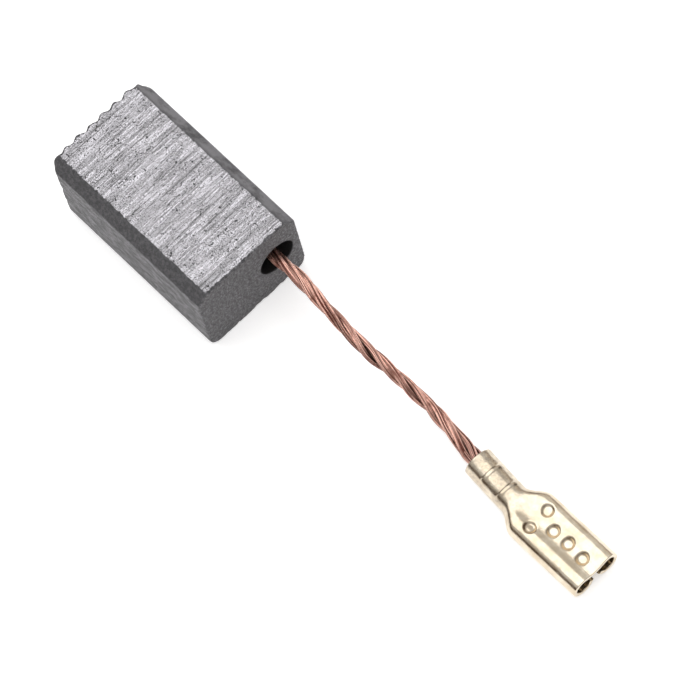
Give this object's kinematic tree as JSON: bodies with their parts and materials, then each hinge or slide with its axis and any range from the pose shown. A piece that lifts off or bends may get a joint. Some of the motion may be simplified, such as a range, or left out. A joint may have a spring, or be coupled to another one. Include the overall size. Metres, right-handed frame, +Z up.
{
  "type": "carbon brush",
  "caption": "Carbon-graphite motor brush with a grooved contact end, a bare stranded copper lead tamped into its rear face and a crimped receptacle terminal for a small tab.",
  "frame": {"origin": "centre of the carbon block's bottom face, on the plane that block and terminal rest on", "axes": "+X along the lead from the block's grooved contact end to the terminal, +Y to the side on which the lead's bore lies, +Z up out of the ground top face"},
  "size_m": [0.0448, 0.0086, 0.0073],
  "materials": {
    "carbon": "matte pressed carbon-graphite, ground bright and scratched on the top face",
    "powder": "dull packed powder",
    "copper": "bare stranded copper wire",
    "tinned_brass": "bright pale brass sheet, folded and crimped"
  },
  "bodies": {
    "root": {"carbon_block": "carbon", "tamped_powder": "powder", "copper_lead": "copper", "terminal": "tinned_brass"}
  },
  "joints": []
}
